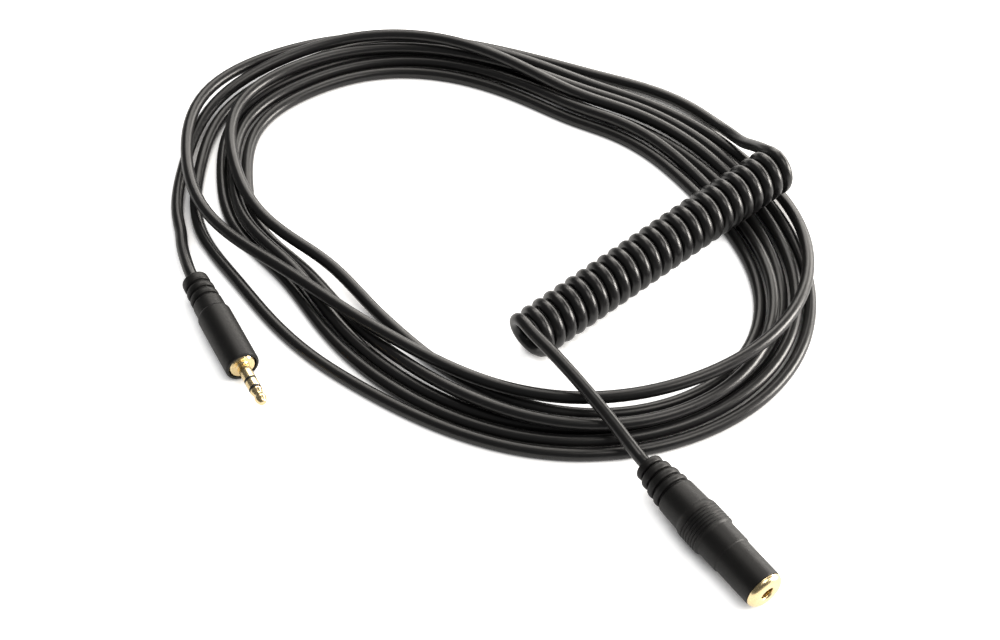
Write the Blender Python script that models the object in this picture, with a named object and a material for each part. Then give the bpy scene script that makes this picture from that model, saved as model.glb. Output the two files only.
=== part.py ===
"""A stereo mini-jack extension cable, coiled and lying on a table.

One round cord joins a moulded plug to a moulded in-line socket. It runs in a
loose skewed oval of a little over six turns, then winds into a curly
section that lies across the oval, and ends in a short straight lead.

Every named size is in millimetres. The objects are built in metres, Z up,
with the table at Z = 0 and the middle of the whole footprint at the origin.
"""

import math

import bmesh
import bpy
from mathutils import Vector

MM = 0.001
SEAT = 0.3          # gap between pieces that meet
PIN_SEAT = 0.06     # gap between the nested pieces of the pin

# The cord, and how its passes lie beside and over each other.
CORD_D = 3.4
PASS_GAP = 0.5      # gap between two passes, side by side or one over the other
PASS_SLANT = 18.0   # degrees that the passes run off square to the radius
FLAT = 0.1          # share of the cord's diameter cut off where the loops rest
LOOP_SIDES = 1      # bevel resolution of the wound pieces
LEAD_SIDES = 2      # bevel resolution of the straight leads

# Where the cord enters the plug and the socket, and the way each one points.
ORIGIN = (-3.6, 11.5)
PLUG_REAR = (-85.63, 10.4)
PLUG_HEADING = -62.0
SOCKET_REAR = (37.8, -53.85)
SOCKET_HEADING = -54.5

# The plug. X runs along it, 0 at its shoulder and positive towards the tip.
PIN_D = 3.5
PIN_LENGTH = 14.0
SLEEVE_END = 5.0
RING_START = 5.7
RING_END = 8.2
TIP_START = 8.9
ROD_D = 1.0
TUBE_WALL = 0.25
SHOULDER_D = 7.4
SHOULDER_THICK = 1.0
TAIL_D = 4.4
TAIL_END = -5.0
PLUG_LENGTH = 35.0
PLUG_D = 9.6
PLUG_STEP = -20.5
PLUG_NECK_D = 8.6
PLUG_RELIEF_D = 7.8
PLUG_CORE_END = -21.3
PLUG_CORE_WALL = 1.1
PLUG_CORD_END = -17.8

# The socket. X runs along it, 0 at its mouth and positive out of the mouth.
SOCKET_LENGTH = 47.0
MOUTH_PLAY = 0.1    # of the gold mouth round a pin, across
BORE_PLAY = 0.5     # of the housing's bore round a pin, across
BUSH_D = 10.5
BUSH_THICK = 1.7
BUSH_NECK_END = -4.7
BARREL_D = 10.7
BARREL_STEP = -13.6
BARREL_REAR_D = 11.2
BAND_START = -20.2
BAND_LENGTH = 7.6
BAND_D = 12.3
BAND_RINGS = 6
HOUSING_D = 8.6
HOUSING_LIP = 1.0   # wall round the bush's neck
HOUSING_END = -19.0
BORE_END = -15.6
SOCKET_CORE_END = -34.0
SOCKET_CORE_WALL = 0.4
SOCKET_CORD_END = -30.0

# The socket's two leaf springs, one above the bore and one below it.
LEAF_THICK = 0.3
LEAF_WIDTH = 1.8
LEAF_ROOM = 0.35    # over the anchored part, for the leaf to turn
LEAF_PRESS = 0.235  # how far a pin pushes a contact
LEAF_PIVOT = -16.2
TAG_END = -22.4
POCKET_WALL = 0.8
# Along the bore, and how far from the anchored height to the contact's.
RING_LEAF = ((-12.6, 0.315), (-9.0, 0.765), (-7.6, 1), (-6.9, 1), (-6.1, 0.72))
TIP_LEAF = ((-14.4, 0.36), (-12.3, 0.855), (-11.6, 1), (-11.0, 1), (-10.1, 0.675))
GROUND_WIDTH = 1.8
GROUND_THICK = 0.35
WIRE_D = 0.8

# The curly section's axis, from its upper right end to its lower left end.
CURL_FROM = (79.9, 47.3)
CURL_TO = (7.2, -12.8)
CURL_RADIUS = 5.6
CURL_GAP = 0.5      # least gap between two curls
CURL_LIFT_FROM = 1.5  # its underside over the passes it lies on
CURL_LIFT_TO = 0.5  # its underside over the table
CURL_POINTS = 10

# The oval's outermost lane: the radii about OVAL_CENTRE that its smooth curve is
# drawn from, every 15 degrees, clockwise from the left as seen from above.
OVAL_CENTRE = (-3.0, 35.0)
OVAL = (
    92.0, 96.5, 103.0, 96.5, 90.5, 82.5, 75.1, 70.9, 71.1, 77.8, 83.2, 86.1,
    89.7, 95.1, 98.9, 97.5, 92.1, 84.9, 77.1, 71.1, 68.2, 69.1, 71.9, 77.8,
)
OVAL_STEP = 360 / len(OVAL)
# The route round the oval, as the numbers that its smooth curve is drawn from,
# one every 15 degrees, 24 to a pass: lanes in from the outermost one, and the
# level, where 0 lies on the table and 1 lies on one other cord.
LANES = (
    0.05, 0.63, 0.77, 0.76, 1.01, 1.64, 2.45, 3.2, 3.76, 4.02, 3.83, 3.13, 2.1, 1.29,
    1.05, 1.15, 1.19, 1.06, 0.88, 0.87, 1.24, 2.06, 3.1, 3.89,
    4.02, 3.49, 2.71, 2.11, 1.69, 1.58, 1.91, 2.71, 3.76, 4.59, 4.76, 4.16, 3.16,
    2.31, 1.99, 2.12, 2.23, 2.13, 1.93, 1.89, 2.25, 3.03, 3.96, 4.67,
    4.88, 4.47, 3.73, 3.09, 2.74, 2.7, 3, 3.69, 4.6, 5.36, 5.64, 5.22, 4.27, 3.18,
    2.33, 1.8, 1.62, 1.77, 2.15, 2.63, 3.24, 4.02, 4.83, 5.48,
    5.75, 5.45, 4.74, 4.1, 3.8, 3.81, 4.02, 4.48, 5.2, 6.01, 6.51, 6.32, 5.38, 4.05,
    3.22, 3.09, 3.24, 3.5, 3.9, 4.42, 5.05, 5.76, 6.42, 6.67,
    6.08, 4.57, 2.9, 2, 1.87, 2, 2.14, 2.33, 2.62, 2.89, 2.8, 2.1, 1.05, 0.28, 0.11,
    0.18, 0.16, -0.01, -0.16, -0.15, -0.05, 0.1, 0.38, 0.89,
    1.48, 1.84, 1.69, 1.12, 0.68, 0.6, 0.78, 1.12, 1.56, 1.92, 1.79, 0.88, 0.1, 0.51,
    1.74, 2.95, 3.7, 4, 3.97, 3.84, 3.76, 3.79, 3.75, 3.28,
    2.18, 0.8, -0.12, -0.42, -0.4, -0.27, -0.12, -0.01, 0.06, 0.22, 0.51, 0.94,
)
LEVELS = (
    0.12, 0.04, 0.47, 1.07, 1.61, 1.96, 1.96, 1.61, 1.21, 0.85, 0.49, 0.21, 0.21,
    0.32, 0.34, 0.26, 0.11, 0.02, 0, 0, 0, 0, 0, 0,
    0, 0, 0, 0, 0, 0, 0, 0, 0, 0, 0, 0, 0, 0, 0, 0, 0, 0, 0, 0, 0.04, 0.19, 0.44,
    0.7,
    0.71, 0.44, 0.24, 0.16, 0.15, 0.22, 0.38, 0.6, 0.79, 0.81, 0.51, 0.08, 0.12,
    0.64, 0.98, 0.98, 0.96, 1.01, 0.99, 0.76, 0.39, 0.11, 0, 0,
    0, 0, 0, 0, 0, 0, 0, 0, 0, 0, 0, 0, 0, 0, 0, 0.01, 0.01, 0.01, 0, 0, 0.04, 0.18,
    0.48, 0.89,
    1.3, 1.48, 1.33, 1.08, 0.93, 0.91, 0.98, 0.96, 0.72, 0.39, 0.13, 0, 0, 0, 0, 0,
    0, 0, 0, 0, 0, 0, 0.01, 0.02,
    0.02, 0.01, 0, 0.02, 0.26, 0.56, 0.72, 0.66, 0.43, 0.16, 0, 0, 0.6, 1.44, 2.01,
    1.94, 1.45, 1.04, 0.92, 1.04, 1.23, 1.36, 1.39, 1.32,
    1.33, 1.39, 1.24, 0.76, 0.26, 0, 0, 0.1, 0.13, 0.14, 0.1, 0.1,
)
LOOPS_END = 6 * 360 + 146

# Free stretches, chosen by hand: a point on the table and a level.
PLUG_LEAD = ((-88.9, 17.9, 0.66), (-91.6, 25.6, 0.3))
FEED = ((69.2, 71.4, 0.5), (72.4, 63.4, 1.4), (75.2, 56.5, 2.6), (77.4, 51.0, 3.5))
SOCKET_LEAD = (
    (13.4, -20.2, 2.85), (19.4, -28.6, 2.7), (25.4, -37.3, 2.4),
    (30.4, -44.1, 1.95), (34.4, -49.5, 1.5),
)

PLUG_WIRE_ANGLES = {"ground": 180.0, "ring": 60.0, "tip": -60.0}
SOCKET_WIRE_ANGLES = {"ground": 180.0, "ring": 60.0, "tip": -60.0}

PITCH = (CORD_D + PASS_GAP) / math.cos(math.radians(PASS_SLANT))
REST = CORD_D / 2 - CORD_D * FLAT
POCKET_HEIGHT = HOUSING_D / 2 - POCKET_WALL
LEAF_HEIGHT = POCKET_HEIGHT - LEAF_ROOM - LEAF_THICK / 2
CONTACT_HEIGHT = PIN_D / 2 - LEAF_PRESS + LEAF_THICK / 2


# ---------------------------------------------------------------- materials

def paint(name, colour, roughness, metallic=0.0):
    material = bpy.data.materials.new(name)
    material.use_nodes = True
    shader = material.node_tree.nodes["Principled BSDF"]
    shader.inputs["Base Color"].default_value = (*colour, 1.0)
    shader.inputs["Roughness"].default_value = roughness
    shader.inputs["Metallic"].default_value = metallic
    material.diffuse_color = (*colour, 1.0)
    return material


# ------------------------------------------------------------------- pieces

def place(item, parent):
    """Link an object and hang it on its parent, with its own local place."""
    bpy.context.scene.collection.objects.link(item)
    item.parent = parent
    return item


def finish_mesh(name, shape, material, parent, smooth=True):
    """Turn a bmesh into a named object with its faces outward."""
    bmesh.ops.remove_doubles(shape, verts=shape.verts, dist=1e-7)
    bmesh.ops.recalc_face_normals(shape, faces=shape.faces)
    mesh = bpy.data.meshes.new(name)
    shape.to_mesh(mesh)
    shape.free()
    if material:
        mesh.materials.append(material)
    item = place(bpy.data.objects.new(name, mesh), parent)
    if smooth:
        mesh.shade_smooth()
        mesh.set_sharp_from_angle(angle=math.radians(40))
    return item


def turned(name, outline, material, parent, sides=28):
    """Revolve a closed outline of (along, radius) about the local X axis."""
    shape = bmesh.new()
    rings = []
    for along, radius in outline:
        if radius == 0:
            rings.append([shape.verts.new((along * MM, 0, 0))])
            continue
        ring = []
        for k in range(sides):
            turn = 2 * math.pi * k / sides
            ring.append(shape.verts.new((
                along * MM,
                radius * MM * math.cos(turn),
                radius * MM * math.sin(turn),
            )))
        rings.append(ring)
    for first, second in zip(rings, rings[1:] + rings[:1]):
        if len(first) == 1 and len(second) == 1:
            continue
        for k in range(sides):
            n = (k + 1) % sides
            corners = [first[k % len(first)], second[k % len(second)],
                       second[n % len(second)], first[n % len(first)]]
            unique = []
            for corner in corners:
                if corner not in unique:
                    unique.append(corner)
            shape.faces.new(unique)
    return finish_mesh(name, shape, material, parent)


def strip(name, outline, width, material, parent, at=(0, 0, 0), side=1):
    """Extrude an outline of (along, up) across Y by a width, centred."""
    shape = bmesh.new()
    near = []
    far = []
    for along, up in outline:
        near.append(shape.verts.new((
            (along - at[0]) * MM, -width / 2 * MM, (side * up - at[2]) * MM)))
        far.append(shape.verts.new((
            (along - at[0]) * MM, width / 2 * MM, (side * up - at[2]) * MM)))
    count = len(outline)
    for k in range(count):
        n = (k + 1) % count
        shape.faces.new((near[k], near[n], far[n], far[k]))
    shape.faces.new(near)
    shape.faces.new(far)
    item = finish_mesh(name, shape, material, parent, smooth=False)
    item.location = Vector(at) * MM
    return item


def block(name, low, high, material, parent):
    """A box between two corners."""
    shape = bmesh.new()
    bmesh.ops.create_cube(shape, size=1.0)
    size = Vector(high) - Vector(low)
    middle = (Vector(high) + Vector(low)) / 2
    for corner in shape.verts:
        corner.co = Vector((
            (middle[k] + corner.co[k] * size[k]) * MM for k in range(3)))
    return finish_mesh(name, shape, material, parent, smooth=False)


def combine(item, tool, operation):
    """Cut or join a hidden tool with an object."""
    step = item.modifiers.new(tool.name, "BOOLEAN")
    step.operation = operation
    step.solver = "EXACT"
    step.object = tool
    tool.hide_render = True
    tool.display_type = "WIRE"


def tube(name, points, diameter, resolution, material, parent):
    """One unbroken round tube through a list of points in millimetres."""
    curve = bpy.data.curves.new(name, "CURVE")
    curve.dimensions = "3D"
    curve.bevel_depth = diameter / 2 * MM
    curve.bevel_resolution = resolution
    curve.use_fill_caps = True
    line = curve.splines.new("POLY")
    line.points.add(len(points) - 1)
    for spot, point in zip(line.points, points):
        spot.co = (*(Vector(point) * MM), 1.0)
    line.use_smooth = True
    curve.materials.append(material)
    return place(bpy.data.objects.new(name, curve), parent)


def solid_of(curve_item, name, parent):
    """Replace a tube by its mesh, so that it can be cut."""
    mesh = bpy.data.meshes.new_from_object(curve_item)
    mesh.name = name
    bpy.data.objects.remove(curve_item)
    shape = bmesh.new()
    shape.from_mesh(mesh)
    bmesh.ops.remove_doubles(shape, verts=shape.verts, dist=1e-7)
    shape.to_mesh(mesh)
    shape.free()
    return place(bpy.data.objects.new(name, mesh), parent)


# ------------------------------------------------------------------- curves

def smooth_path(stops, spacing):
    """Points about one spacing apart on a smooth curve through the stops."""
    stops = [Vector(stop) for stop in stops]
    ends = [2 * stops[0] - stops[1]] + stops + [2 * stops[-1] - stops[-2]]
    path = [stops[0]]
    for k in range(1, len(stops)):
        a, b, c, d = ends[k - 1], ends[k], ends[k + 1], ends[k + 2]
        reach = (c - b).length
        before = max((b - a).length, 1e-6)
        after = max((d - c).length, 1e-6)
        start = ((b - a) / before * reach + (c - b) * before / reach) \
            / (before + reach) * reach
        finish = ((c - b) * after / reach + (d - c) / after * reach) \
            / (after + reach) * reach
        steps = max(1, round(reach / spacing))
        for j in range(1, steps + 1):
            u = j / steps
            path.append(
                b * (2 * u ** 3 - 3 * u ** 2 + 1)
                + start * (u ** 3 - 2 * u ** 2 + u)
                + c * (3 * u ** 2 - 2 * u ** 3)
                + finish * (u ** 3 - u ** 2))
    return path


def blend(values, place):
    """A smooth curve drawn along a list of numbers, read at a place in it."""
    whole, u = divmod(place, 1)
    shares = ((1 - u) ** 3, 3 * u ** 3 - 6 * u * u + 4,
              3 * (u + u * u - u ** 3) + 1, u ** 3)
    return sum(share * values(int(whole) + k - 1)
               for k, share in enumerate(shares)) / 6


def around(stops):
    """Read a closed list at any whole place."""
    return lambda k: stops[k % len(stops)]


def open_ended(stops):
    """Read an open list, carried on straight past its two ends."""
    def read(k):
        if k < 0:
            return 2 * stops[0] - stops[-k]
        if k >= len(stops):
            return 2 * stops[-1] - stops[2 * len(stops) - 2 - k]
        return stops[k]
    return read


def loop_point(angle):
    """The cord's centre in the oval, at an angle counted over all passes."""
    place = angle / OVAL_STEP
    radius = blend(around(OVAL), place) - blend(open_ended(LANES), place) * PITCH
    turn = math.radians(180 - angle)
    return Vector((
        OVAL_CENTRE[0] + radius * math.cos(turn),
        OVAL_CENTRE[1] + radius * math.sin(turn),
        REST + blend(open_ended(LEVELS), place) * PITCH,
    ))


def loop_heading(angle):
    return (loop_point(angle + 1) - loop_point(angle - 1)).normalized()


def raised(stops):
    """Hand-chosen stops with their level turned into a height."""
    return [Vector((x, y, REST + level * PITCH)) for x, y, level in stops]


def least_gap(points, diameter, skip):
    """The least gap of a tube to itself, between stretches skip apart."""
    least = math.inf
    for i in range(len(points) - 1):
        for j in range(i + skip, len(points) - 1):
            if (points[i] - points[j]).length < 4 * diameter:
                least = min(least, stretch_gap(
                    points[i], points[i + 1], points[j], points[j + 1]))
    return least - diameter


def stretch_gap(a, b, c, d):
    """The distance between two straight stretches."""
    along, across, back = b - a, d - c, a - c
    aa, cc, ac = along.dot(along), across.dot(across), along.dot(across)
    spread = aa * cc - ac * ac
    s = 0.0
    if spread > 1e-9:
        s = (ac * across.dot(back) - cc * along.dot(back)) / spread
        s = min(1.0, max(0.0, s))
    t = (ac * s + across.dot(back)) / cc
    if t < 0.0 or t > 1.0:
        t = min(1.0, max(0.0, t))
        s = min(1.0, max(0.0, (ac * t - along.dot(back)) / aa))
    return (back + along * s - across * t).length


# ------------------------------------------------------------------ outlines

def rib(start, end, radius, groove):
    """A rounded rib between two grooves, as outline points."""
    edge = min(0.45, (end - start) / 4)
    return [(start, groove), (start, radius - 0.35), (start + edge, radius),
            (end - edge, radius), (end, radius - 0.35), (end, groove)]


def bent_leaf(stops, thick, start):
    """The outline of a spring leaf that is bent through the stops."""
    drop = LEAF_HEIGHT - CONTACT_HEIGHT
    line = [(start, LEAF_HEIGHT)]
    line += [(x, LEAF_HEIGHT - share * drop) for x, share in stops]
    upper = []
    lower = []
    for k, (x, up) in enumerate(line):
        before = line[max(k - 1, 0)]
        after = line[min(k + 1, len(line) - 1)]
        run = math.hypot(after[0] - before[0], after[1] - before[1])
        normal = (-(after[1] - before[1]) / run, (after[0] - before[0]) / run)
        upper.append((x + normal[0] * thick / 2, up + normal[1] * thick / 2))
        lower.append((x - normal[0] * thick / 2, up - normal[1] * thick / 2))
    return lower + upper[::-1]


def end_point(rear, height, heading, along):
    """A point on a connector's axis, counted from where the cord enters it."""
    turn = math.radians(heading)
    return Vector((rear[0] + along * math.cos(turn),
                   rear[1] + along * math.sin(turn), height))


def wire_start(angles, name, along):
    """Where a wire leaves the end of the cord."""
    turn = math.radians(angles[name])
    reach = CORD_D / 4
    return Vector((along, reach * math.cos(turn), reach * math.sin(turn)))


# ---------------------------------------------------------------- the cable

def build_plug(cable, paints):
    frame = place(bpy.data.objects.new("plug_frame", None), cable)
    frame.location = end_point(PLUG_REAR, PLUG_D / 2, PLUG_HEADING, PLUG_LENGTH) * MM
    frame.rotation_euler = (0, 0, math.radians(PLUG_HEADING))

    pin = PIN_D / 2
    rod = ROD_D / 2
    inner = rod + PIN_SEAT          # the tip's insulating tube
    middle = inner + TUBE_WALL + PIN_SEAT
    outer = middle + TUBE_WALL + PIN_SEAT
    hole = outer + TUBE_WALL + PIN_SEAT
    tail = TAIL_D / 2

    sleeve = turned("plug_sleeve", [
        (TAIL_END, hole), (TAIL_END, tail), (-SHOULDER_THICK, tail),
        (-SHOULDER_THICK, SHOULDER_D / 2 - 0.2),
        (-SHOULDER_THICK + 0.2, SHOULDER_D / 2),
        (-0.3, SHOULDER_D / 2), (0, SHOULDER_D / 2 - 0.3),
        (0, pin + 0.25), (0.25, pin), (SLEEVE_END, pin), (SLEEVE_END, hole),
    ], paints["gold"], frame, 24)
    tab = block(
        "plug_ground_tab", (TAIL_END - 6.5, -tail, -0.8),
        (TAIL_END + 0.6, -tail + 0.4, 0.8), None, frame)
    combine(sleeve, tab, "UNION")

    turned("plug_ring_insulator", [
        (TAIL_END - 1.2, outer), (TAIL_END - 1.2, tail - 0.8),
        (TAIL_END - SEAT, tail - 0.8), (TAIL_END - SEAT, outer + TUBE_WALL),
        (SLEEVE_END + PIN_SEAT, outer + TUBE_WALL),
        (SLEEVE_END + PIN_SEAT, pin), (RING_START - PIN_SEAT, pin),
        (RING_START - PIN_SEAT, outer),
    ], paints["insulator"], frame, 24)

    ring_end = TAIL_END - 2.0
    ring = turned("plug_ring", [
        (ring_end, middle), (ring_end, middle + TUBE_WALL),
        (RING_START, middle + TUBE_WALL), (RING_START, pin - 0.12),
        (RING_START + 0.12, pin), (RING_END - 0.12, pin),
        (RING_END, pin - 0.12), (RING_END, middle),
    ], paints["gold"], frame, 24)
    ring_tab = block(
        "plug_ring_tab", (ring_end - 3.5, -0.5, middle + 0.03),
        (ring_end + 0.5, 0.5, middle + 0.4), None, frame)
    combine(ring, ring_tab, "UNION")

    turned("plug_tip_insulator", [
        (ring_end - 1.0, inner), (ring_end - 1.0, inner + TUBE_WALL),
        (RING_END + PIN_SEAT, inner + TUBE_WALL), (RING_END + PIN_SEAT, pin),
        (TIP_START - PIN_SEAT, pin), (TIP_START - PIN_SEAT, inner),
    ], paints["insulator"], frame, 24)

    rod_end = ring_end - 2.5
    nose = PIN_LENGTH - TIP_START
    turned("plug_tip", [
        (rod_end, 0), (rod_end, rod), (TIP_START, rod),
        (TIP_START, pin - 0.1), (TIP_START + 0.1 * nose, pin - 0.02),
        (TIP_START + 0.22 * nose, pin - 0.3),
        (TIP_START + 0.40 * nose, pin - 0.6),
        (TIP_START + 0.58 * nose, pin - 0.18),
        (TIP_START + 0.66 * nose, pin - 0.15),
        (TIP_START + 0.92 * nose, 0.3 * pin),
        (TIP_START + 0.98 * nose, 0.17 * pin), (PIN_LENGTH, 0),
    ], paints["gold"], frame, 24)

    # The inner mould holds the tags, and the overmould closes over it.
    bore = CORD_D / 2 + SEAT
    core = SHOULDER_D / 2
    taper = PLUG_CORE_END + 4.3
    turned("plug_inner_mould", [
        (PLUG_CORE_END, bore), (PLUG_CORE_END, PLUG_NECK_D / 2 - 1.3),
        (taper, core), (-SHOULDER_THICK - SEAT, core),
        (-SHOULDER_THICK - SEAT, tail + SEAT), (TAIL_END, tail + SEAT),
        (TAIL_END, core - PLUG_CORE_WALL), (taper, core - PLUG_CORE_WALL),
        (taper - 0.6, bore),
    ], paints["mould"], frame, 24)

    relief = PLUG_RELIEF_D / 2
    neck = PLUG_NECK_D / 2
    body = PLUG_D / 2
    rear = -PLUG_LENGTH
    turned("plug_overmould", [
        (rear, bore), (rear, relief - 0.5), (rear + 0.12, relief - 0.2),
        (rear + 0.5, relief), (rear + 2.9, relief), (rear + 3.2, relief - 0.3),
        (rear + 3.3, relief - 0.8), (rear + 4.0, relief - 0.8),
        *rib(rear + 4.0, rear + 6.1, relief + 0.15, relief - 0.7),
        *rib(rear + 6.7, rear + 8.8, relief + 0.25, relief - 0.6),
        (rear + 9.4, relief - 0.5), (rear + 9.5, neck - 0.15),
        (PLUG_STEP - 0.35, neck), (PLUG_STEP, body - 0.1),
        (PLUG_STEP + 0.5, body), (-1.0, body), (-0.35, body - 0.12),
        (0, body - 0.45), (0, core + SEAT),
        (taper - 0.1, core + SEAT),
        (PLUG_CORE_END - SEAT, neck - 1.3 + SEAT), (PLUG_CORE_END - SEAT, bore),
    ], paints["rubber"], frame, 32)

    starts = {name: wire_start(PLUG_WIRE_ANGLES, name, PLUG_CORD_END + SEAT)
              for name in PLUG_WIRE_ANGLES}
    ends = {
        "ground": Vector((TAIL_END - 6.5 - SEAT, -tail + 0.4, 0)),
        "ring": Vector((ring_end - 3.5 - SEAT, 0, middle + 0.4)),
        "tip": Vector((rod_end - SEAT, 0, 0)),
    }
    for name, start in starts.items():
        wire(f"plug_wire_{name}", start, ends[name], paints[f"wire_{name}"], frame)
    return frame


def wire(name, start, end, material, parent):
    """A wire from the cord's end to a tag, straight where it ends."""
    lead = Vector((1.2, 0, 0))
    if end.x < start.x:
        lead = -lead
    path = smooth_path((start, start + lead, end - lead, end), WIRE_D * 1.5)
    return tube(name, path, WIRE_D, 1, material, parent)


def build_socket(cable, paints):
    frame = place(bpy.data.objects.new("socket_frame", None), cable)
    frame.location = end_point(
        SOCKET_REAR, BAND_D / 2, SOCKET_HEADING, SOCKET_LENGTH) * MM
    frame.rotation_euler = (0, 0, math.radians(SOCKET_HEADING))

    mouth = (PIN_D + MOUTH_PLAY) / 2
    cap = BUSH_D / 2
    housing = HOUSING_D / 2
    neck = housing - HOUSING_LIP - SEAT
    strap = -housing + 0.25         # the ground strap's outer side, in Y

    bush = turned("socket_bush", [
        (BUSH_NECK_END, mouth), (BUSH_NECK_END, neck), (-BUSH_THICK, neck),
        (-BUSH_THICK, cap), (-0.62 * BUSH_THICK, cap - 0.1),
        (-0.32 * BUSH_THICK, cap - 0.42), (-0.12 * BUSH_THICK, cap - 0.85),
        (0, cap - 1.3), (0, mouth + 0.3), (-0.3, mouth),
    ], paints["gold"], frame, 32)
    ground = block(
        "socket_ground_strap", (TAG_END, strap, -GROUND_WIDTH / 2),
        (-BUSH_THICK + 0.2, strap + GROUND_THICK, GROUND_WIDTH / 2), None, frame)
    combine(bush, ground, "UNION")

    front = -BUSH_THICK - SEAT
    bore = (PIN_D + BORE_PLAY) / 2
    shell = turned("socket_housing", [
        (HOUSING_END, 0), (HOUSING_END, housing), (front, housing),
        (front, neck + SEAT), (BUSH_NECK_END - SEAT, neck + SEAT),
        (BUSH_NECK_END - SEAT, bore), (BORE_END, bore), (BORE_END - 0.6, 0),
    ], paints["insulator"], frame, 28)
    groove = block(
        "socket_groove_tool", (TAG_END - SEAT, -housing - 1, -GROUND_WIDTH / 2 - SEAT),
        (front + 1, strap + GROUND_THICK + SEAT, GROUND_WIDTH / 2 + SEAT), None, frame)
    combine(shell, groove, "DIFFERENCE")
    pocket_outline = [
        (HOUSING_END - 1, LEAF_HEIGHT - LEAF_THICK / 2 - SEAT),
        (BORE_END - 0.9, LEAF_HEIGHT - LEAF_THICK / 2 - SEAT),
        (BORE_END + 0.1, 0.4), (BUSH_NECK_END - SEAT - 0.5, 0.4),
        (BUSH_NECK_END - SEAT - 0.5, POCKET_HEIGHT),
        (HOUSING_END - 1, POCKET_HEIGHT),
    ]
    for name, side in (("ring", 1), ("tip", -1)):
        pocket = strip(
            f"socket_{name}_pocket_tool", pocket_outline,
            LEAF_WIDTH + 2 * SEAT, None, frame, side=side)
        combine(shell, pocket, "DIFFERENCE")

    tag_outline = [
        (TAG_END, LEAF_HEIGHT - LEAF_THICK / 2),
        (LEAF_PIVOT - SEAT, LEAF_HEIGHT - LEAF_THICK / 2),
        (LEAF_PIVOT - SEAT, LEAF_HEIGHT + LEAF_THICK / 2),
        (TAG_END, LEAF_HEIGHT + LEAF_THICK / 2),
    ]
    for name, stops, side in (("ring", RING_LEAF, 1), ("tip", TIP_LEAF, -1)):
        strip(f"socket_{name}_tag", tag_outline, LEAF_WIDTH, paints["brass"],
              frame, side=side)
        strip(f"socket_{name}_leaf", bent_leaf(stops, LEAF_THICK, LEAF_PIVOT),
              LEAF_WIDTH, paints["brass"], frame,
              at=(LEAF_PIVOT, 0, side * LEAF_HEIGHT), side=side)

    cord_bore = CORD_D / 2 + SEAT
    hollow = housing - SOCKET_CORE_WALL
    mould = turned("socket_inner_mould", [
        (SOCKET_CORE_END, cord_bore), (SOCKET_CORE_END, housing - 1.6),
        (SOCKET_CORE_END + 2.5, housing), (HOUSING_END - SEAT, housing),
        (HOUSING_END - SEAT, hollow), (SOCKET_CORD_END + 0.8, hollow),
        (SOCKET_CORD_END, cord_bore),
    ], paints["mould"], frame, 28)
    combine(mould, groove, "DIFFERENCE")

    rear = -SOCKET_LENGTH
    barrel = BARREL_D / 2
    back = BARREL_REAR_D / 2
    band = BAND_D / 2
    core = housing + SEAT
    band_end = BAND_START - BAND_LENGTH
    outline = [(rear, cord_bore)]
    ribs = ((0.0, 2.3, 3.9), (2.9, 5.2, 4.5), (5.8, 8.0, 5.0), (8.6, 10.6, 5.3))
    for start, end, radius in ribs:
        outline += rib(rear + start, rear + end, radius, radius - 0.9)
    outline += [
        (rear + 11.2, 4.5), (rear + 11.2, 5.3), (rear + 11.7, 5.45),
        (band_end - 0.5, back + 0.05), (band_end + 0.3, band - 0.12),
        (band_end + 0.8, band),
    ]
    spacing = (BAND_LENGTH - 2.0) / BAND_RINGS
    for k in range(BAND_RINGS):
        x = band_end + 1.2 + k * spacing
        outline += [(x, band), (x + 0.25 * spacing, band - 0.2),
                    (x + 0.5 * spacing, band)]
    outline += [
        (BAND_START - 0.35, band), (BAND_START + 0.35, back + 0.02),
        (BARREL_STEP, back), (BARREL_STEP + 0.3, barrel),
        (-BUSH_THICK - 0.4, barrel), (-BUSH_THICK - 0.15, barrel - 0.1),
        (-BUSH_THICK - 0.15, core), (SOCKET_CORE_END + 2.4, core),
        (SOCKET_CORE_END - SEAT, core - 1.6), (SOCKET_CORE_END - SEAT, cord_bore),
    ]
    turned("socket_overmould", outline, paints["rubber"], frame, 32)

    starts = {name: wire_start(SOCKET_WIRE_ANGLES, name, SOCKET_CORD_END + SEAT)
              for name in SOCKET_WIRE_ANGLES}
    ends = {
        "ground": Vector((TAG_END - SEAT, SEAT + WIRE_D / 2 - hollow, 0)),
        "ring": Vector((TAG_END - SEAT, 0, LEAF_HEIGHT)),
        "tip": Vector((TAG_END - SEAT, 0, -LEAF_HEIGHT)),
    }
    for name, start in starts.items():
        wire(f"socket_wire_{name}", start, ends[name], paints[f"wire_{name}"], frame)
    return frame


def curl_frame():
    """The curly section's ends, directions, turns and advance per turn."""
    reach = CURL_RADIUS + CORD_D / 2
    top = 2 * REST if REST > CORD_D / 2 else REST + CORD_D / 2
    start = Vector((*CURL_FROM, top + CURL_LIFT_FROM + reach))
    finish = Vector((*CURL_TO, CURL_LIFT_TO + reach))
    along = (finish - start).normalized()
    out = Vector((-along.y, along.x, 0)).normalized()
    up = along.cross(out).normalized()
    if up.z < 0:
        up = -up
    turns = int((finish - start).length / (CORD_D + CURL_GAP))
    return start, finish, along, out, up, turns


def curl_points():
    """The helix, from the top of its first curl to the top of its last."""
    start, finish, along, out, up, turns = curl_frame()
    path = []
    for k in range(turns * CURL_POINTS + 1):
        share = k / (turns * CURL_POINTS)
        turn = 2 * math.pi * k / CURL_POINTS
        centre = start.lerp(finish, share)
        path.append(centre + CURL_RADIUS
                    * (up * math.cos(turn) + out * math.sin(turn)))
    return path


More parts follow.
